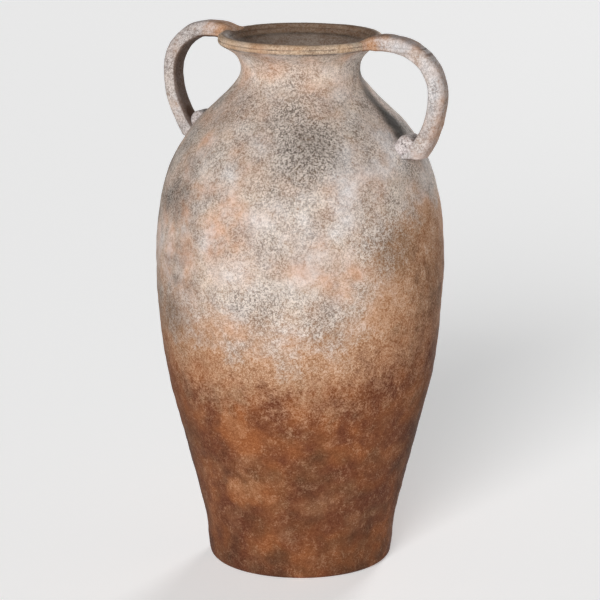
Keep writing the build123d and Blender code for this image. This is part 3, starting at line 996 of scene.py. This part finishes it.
def clay(name, kind):
    t = Tree(name)
    c = dict(PALETTE["all"], **PALETTE[kind])
    where = t.nodes.new("ShaderNodeTexCoord").outputs["Object"]
    wash, soot_and_shade, warm = t.split("zones")
    chalk, stain_and_shade = t.split("marks")[:2]
    xyz = t.nodes.new("ShaderNodeSeparateXYZ")
    t.links.new(where, xyz.inputs[0])

    worm = t.noise(where, 2.4, 2.0, 0.60, 0.9)         # raised network of the wash, 2 to 3 mm
    grit = t.noise(where, 1.3, 2.0, 0.55, 0.3)
    dab = t.noise(where, 8.5, 3.0, 0.55, 0.6)
    blotch = t.noise(where, 15.0, 4.0, 0.60, 0.5)
    cloud = t.noise(where, 38.0, 4.0, 0.60, 0.4)
    grain = t.sum((0.62, worm), (0.38, grit))
    half = lambda v: t.math("SUBTRACT", v, 0.5)

    # limewashed clay: soft tone, then the pale network over darker hollows
    tone = t.mix(t.sum((0.95, warm), (0.6, half(blotch))), c["beige"], c["peach"])
    tone = t.mix(t.sum((0.85, chalk), (0.9, half(blotch)), (0.5, half(dab))), tone, c["white"])
    tone = t.mix(t.sum((0.85, soot_and_shade), (0.9, half(cloud)), (0.9, half(dab))), tone, c["grey"])
    high = t.mix(t.sum(0.32, (0.30, soot_and_shade), (-0.20, warm)), tone, c["fleck"])
    low = t.mix(t.sum(0.34, (0.42, soot_and_shade), (-0.22, warm)), tone, c["hollow"])
    limed = t.mix(t.span(grain, 0.41, 0.58), low, high)
    limed = t.mix(1.0, limed, t.mix(t.span(dab, 0.32, 0.68), (0.86, 0.86, 0.86, 1), (1.10, 1.10, 1.10, 1)), "MULTIPLY")

    # bare fired clay: rust to red-brown, olive-brown where it is stained
    slow = t.noise(where, 70.0, 3.0, 0.55, 0.5)
    fired = t.mix(t.span(t.sum((0.6, cloud), (0.4, slow)), 0.38, 0.62), c["redbrown"], c["rust"])
    fired = t.mix(t.sum((0.9, t.span(t.sum((0.6, slow), (0.4, warm)), 0.34, 0.66)), (0.4, half(blotch)), -0.04), fired, c["amber"])
    fired = t.mix(t.sum((1.0, soot_and_shade), (0.7, half(cloud)), (0.2, half(dab)), -0.12), fired, c["olive"])
    fired = t.mix(t.sum((0.60, chalk), (0.4, half(dab)), -0.14), fired, c["tan"])
    ochre = t.mix(t.sum((0.6, soot_and_shade), (0.5, half(cloud))), c["ochre"], c["drab"])
    speck = t.mix(t.span(grain, 0.38, 0.62), (0.80, 0.72, 0.62, 1), (1.20, 1.30, 1.44, 1))
    patch = t.mix(t.span(dab, 0.30, 0.70), (0.92, 0.91, 0.89, 1), (1.07, 1.08, 1.09, 1))
    fired = t.mix(1.0, t.mix(1.0, fired, speck, "MULTIPLY"), patch, "MULTIPLY")
    ochre = t.mix(1.0, ochre, speck, "MULTIPLY")

    dusted = t.sum(wash, (0.9, half(grain)), (0.5, half(blotch)), (0.4, half(dab)))
    colour = t.mix(t.span(dusted, 0.04, 0.50, smooth=False), fired, ochre)
    colour = t.mix(t.span(dusted, 0.46, 0.94, smooth=False), colour, limed)

    if kind in ("wall", "lip"):
        # inside the mouth the clay has no wash and is dusky
        flat = t.nodes.new("ShaderNodeVectorMath")
        flat.operation = "MULTIPLY"
        t.links.new(where, flat.inputs[0])
        flat.inputs[1].default_value = (1, 1, 0)
        facing = t.nodes.new("ShaderNodeVectorMath")
        facing.operation = "DOT_PRODUCT"
        t.links.new(t.nodes.new("ShaderNodeNewGeometry").outputs["Normal"], facing.inputs[0])
        t.links.new(flat.outputs[0], facing.inputs[1])
        inward = t.span(facing.outputs["Value"], 0.028 if kind == "lip" else 0.0, -0.006 if kind == "lip" else -0.02)
        lie = t.nodes.new("ShaderNodeMapping")
        t.links.new(where, lie.inputs["Vector"])
        lie.inputs["Scale"].default_value = (1, 1, 6)
        streak = t.noise(lie.outputs[0], 16.0, 4.0, 0.6, 0.3)
        dusk = t.mix(t.span(t.sum((0.6, streak), (0.4, cloud)), 0.38, 0.62), c["dusk"], c["umber"])
        dusk = t.mix(t.math("MULTIPLY", t.span(grain, 0.40, 0.62), 0.35), dusk, c["ash"])
        colour = t.mix(t.math("MULTIPLY", inward, 0.95), colour, dusk)

    # the dark of stains and of painted shade: burnt brown on bare clay, near-black on the wash
    dark = t.mix(t.span(wash, 0.25, 0.75), c["burnt_and_shade"], c["stain_and_shade"])
    colour = t.mix(t.sum((0.97, stain_and_shade)), colour, dark)

    bumps = t.sum((0.9, grain), (0.5, t.noise(where, 6.0, 2.0, 0.5)))
    bump = t.nodes.new("ShaderNodeBump")
    bump.inputs["Strength"].default_value = 0.8
    bump.inputs["Distance"].default_value = 0.0005
    t.links.new(bumps, bump.inputs["Height"])

    shader = t.nodes.new("ShaderNodeBsdfPrincipled")
    t.links.new(colour, shader.inputs["Base Color"])
    t.links.new(t.span(grain, 0.3, 0.7, 0.92, 0.76), shader.inputs["Roughness"])
    shader.inputs["Specular IOR Level"].default_value = 0.25
    t.links.new(bump.outputs["Normal"], shader.inputs["Normal"])
    t.links.new(shader.outputs[0], t.nodes.new("ShaderNodeOutputMaterial").inputs["Surface"])
    return t.mat


PALETTE = {
    "all": dict(
        beige=srgb(208, 190, 174), peach=srgb(208, 154, 118), white=srgb(226, 222, 222), grey=srgb(132, 122, 114),
        # the stain colour here and the burnt brown below are the darks of stains and of painted shade
        stain_and_shade=srgb(40, 33, 26),
        fleck=srgb(244, 230, 218), hollow=srgb(80, 66, 57),
        burnt_and_shade=srgb(58, 28, 14), redbrown=srgb(104, 56, 33), rust=srgb(122, 72, 42), amber=srgb(150, 89, 49), olive=srgb(72, 52, 34),
        tan=srgb(178, 132, 96), ochre=srgb(182, 139, 106), drab=srgb(128, 102, 78),
        dusk=srgb(116, 102, 91), umber=srgb(98, 76, 60), ash=srgb(160, 146, 134),
    ),
    "wall": {},
    "lip": dict(beige=srgb(206, 175, 144), peach=srgb(184, 136, 98), white=srgb(228, 214, 198),
                grey=srgb(140, 112, 88), fleck=srgb(236, 216, 188), hollow=srgb(104, 72, 48),
                dusk=srgb(122, 98, 78), umber=srgb(98, 70, 50)),
    # for the handles the stain colour is a brown, used on the left strap's inner face, which is painted shade with
    # some of its own brown
    "handle": dict(stain_and_shade=srgb(74, 52, 38), beige=srgb(198, 184, 174), peach=srgb(188, 148, 122),
                   white=srgb(220, 217, 218), grey=srgb(130, 124, 121), fleck=srgb(236, 228, 224),
                   hollow=srgb(78, 66, 60)),
    "roll": dict(beige=srgb(208, 192, 186), peach=srgb(200, 166, 148), white=srgb(226, 216, 216),
                 grey=srgb(132, 122, 119), fleck=srgb(240, 232, 228), hollow=srgb(86, 74, 70)),
}

SLOTS = {
    "floor_disc": ("rust_terracotta", "wall"),
    "lower_wall": ("rust_terracotta", "wall"),
    "belly_wall": ("limewashed_terracotta", "wall"),
    "shoulder_wall": ("limewashed_terracotta", "wall"),
    "neck_collar": ("limewashed_terracotta", "wall"),
    "lip_coil": ("tan_terracotta", "lip"),
    "right_handle": ("grey_washed_terracotta", "handle"),
    "left_handle": ("grey_washed_terracotta", "handle"),
    "right_handle_roll": ("pale_washed_terracotta", "roll"),
    "left_handle_roll": ("pale_washed_terracotta", "roll"),
}
mats = {}
for node, obj in made.items():
    slot, kind = SLOTS[node]
    if slot not in mats:
        mats[slot] = clay("clay_" + slot, kind)
    obj.data.materials.clear()
    obj.data.materials.append(mats[slot])
    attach(obj, "root")
    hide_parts(node)


# =====================================================================================
# Floor, light and camera
# =====================================================================================
bpy.ops.mesh.primitive_plane_add(size=40, location=(0, 0, 0))
floor = bpy.context.object
floor.name = "studio_floor"
ground = Tree("studio_white")
paper = ground.nodes.new("ShaderNodeBsdfPrincipled")
paper.inputs["Base Color"].default_value = (0.90, 0.90, 0.90, 1)
paper.inputs["Roughness"].default_value = 0.9
paper.inputs["Emission Color"].default_value = (1, 1, 1, 1)
paper.inputs["Emission Strength"].default_value = 0.34
paper.inputs["Specular IOR Level"].default_value = 0.1
ground.links.new(paper.outputs[0], ground.nodes.new("ShaderNodeOutputMaterial").inputs["Surface"])
floor.data.materials.append(ground.mat)


def aim(obj, target):
    obj.rotation_euler = (Vector(target) - obj.location).to_track_quat("-Z", "Y").to_euler()


def soft_sun(name, azimuth, elevation, spread, strength):
    """A large soft source far away, seen under that many degrees."""
    lamp = bpy.data.lights.new(name, "SUN")
    lamp.energy, lamp.angle = strength, math.radians(spread)
    obj = bpy.data.objects.new(name, lamp)
    a, e = math.radians(azimuth), math.radians(elevation)
    obj.location = (3 * math.cos(e) * math.cos(a), 3 * math.cos(e) * math.sin(a), 0.3 + 3 * math.sin(e))
    aim(obj, (0, 0, 0.3))
    bpy.context.scene.collection.objects.link(obj)
    return obj


soft_sun("key", -75, 21, 26, 2.55)
soft_sun("back", 100, 11, 16, 2.2)

world = bpy.data.worlds.new("studio")
bpy.context.scene.world = world
world.use_nodes = True
# a low pale band stands behind the floor, and dim fill light comes from above it
sky = world.node_tree
toward = sky.nodes.new("ShaderNodeTexCoord")
height = sky.nodes.new("ShaderNodeSeparateXYZ")
fall = sky.nodes.new("ShaderNodeMapRange")
fall.inputs["From Min"].default_value, fall.inputs["From Max"].default_value = 0.08, 0.13
fall.inputs["To Min"].default_value, fall.inputs["To Max"].default_value = 0.84, 0.06
sky.links.new(toward.outputs["Generated"], height.inputs[0])
sky.links.new(height.outputs["Z"], fall.inputs["Value"])
sky.links.new(fall.outputs["Result"], sky.nodes["Background"].inputs["Strength"])
sky.nodes["Background"].inputs["Color"].default_value = (1, 1, 1, 1)

scene = bpy.context.scene
scene.view_settings.view_transform = "Standard"
scene.view_settings.look = "None"

camera = bpy.data.cameras.new("camera")
camera.lens, camera.sensor_width, camera.sensor_height = 173.8, 36.0, 36.0
camera.clip_start, camera.clip_end = 0.05, 100
eye = bpy.data.objects.new("camera", camera)
eye.location = (1.5755, -2.7288, 1.0666)
aim(eye, (-0.00047, -0.00027, 0.29464))
scene.collection.objects.link(eye)
scene.camera = eye
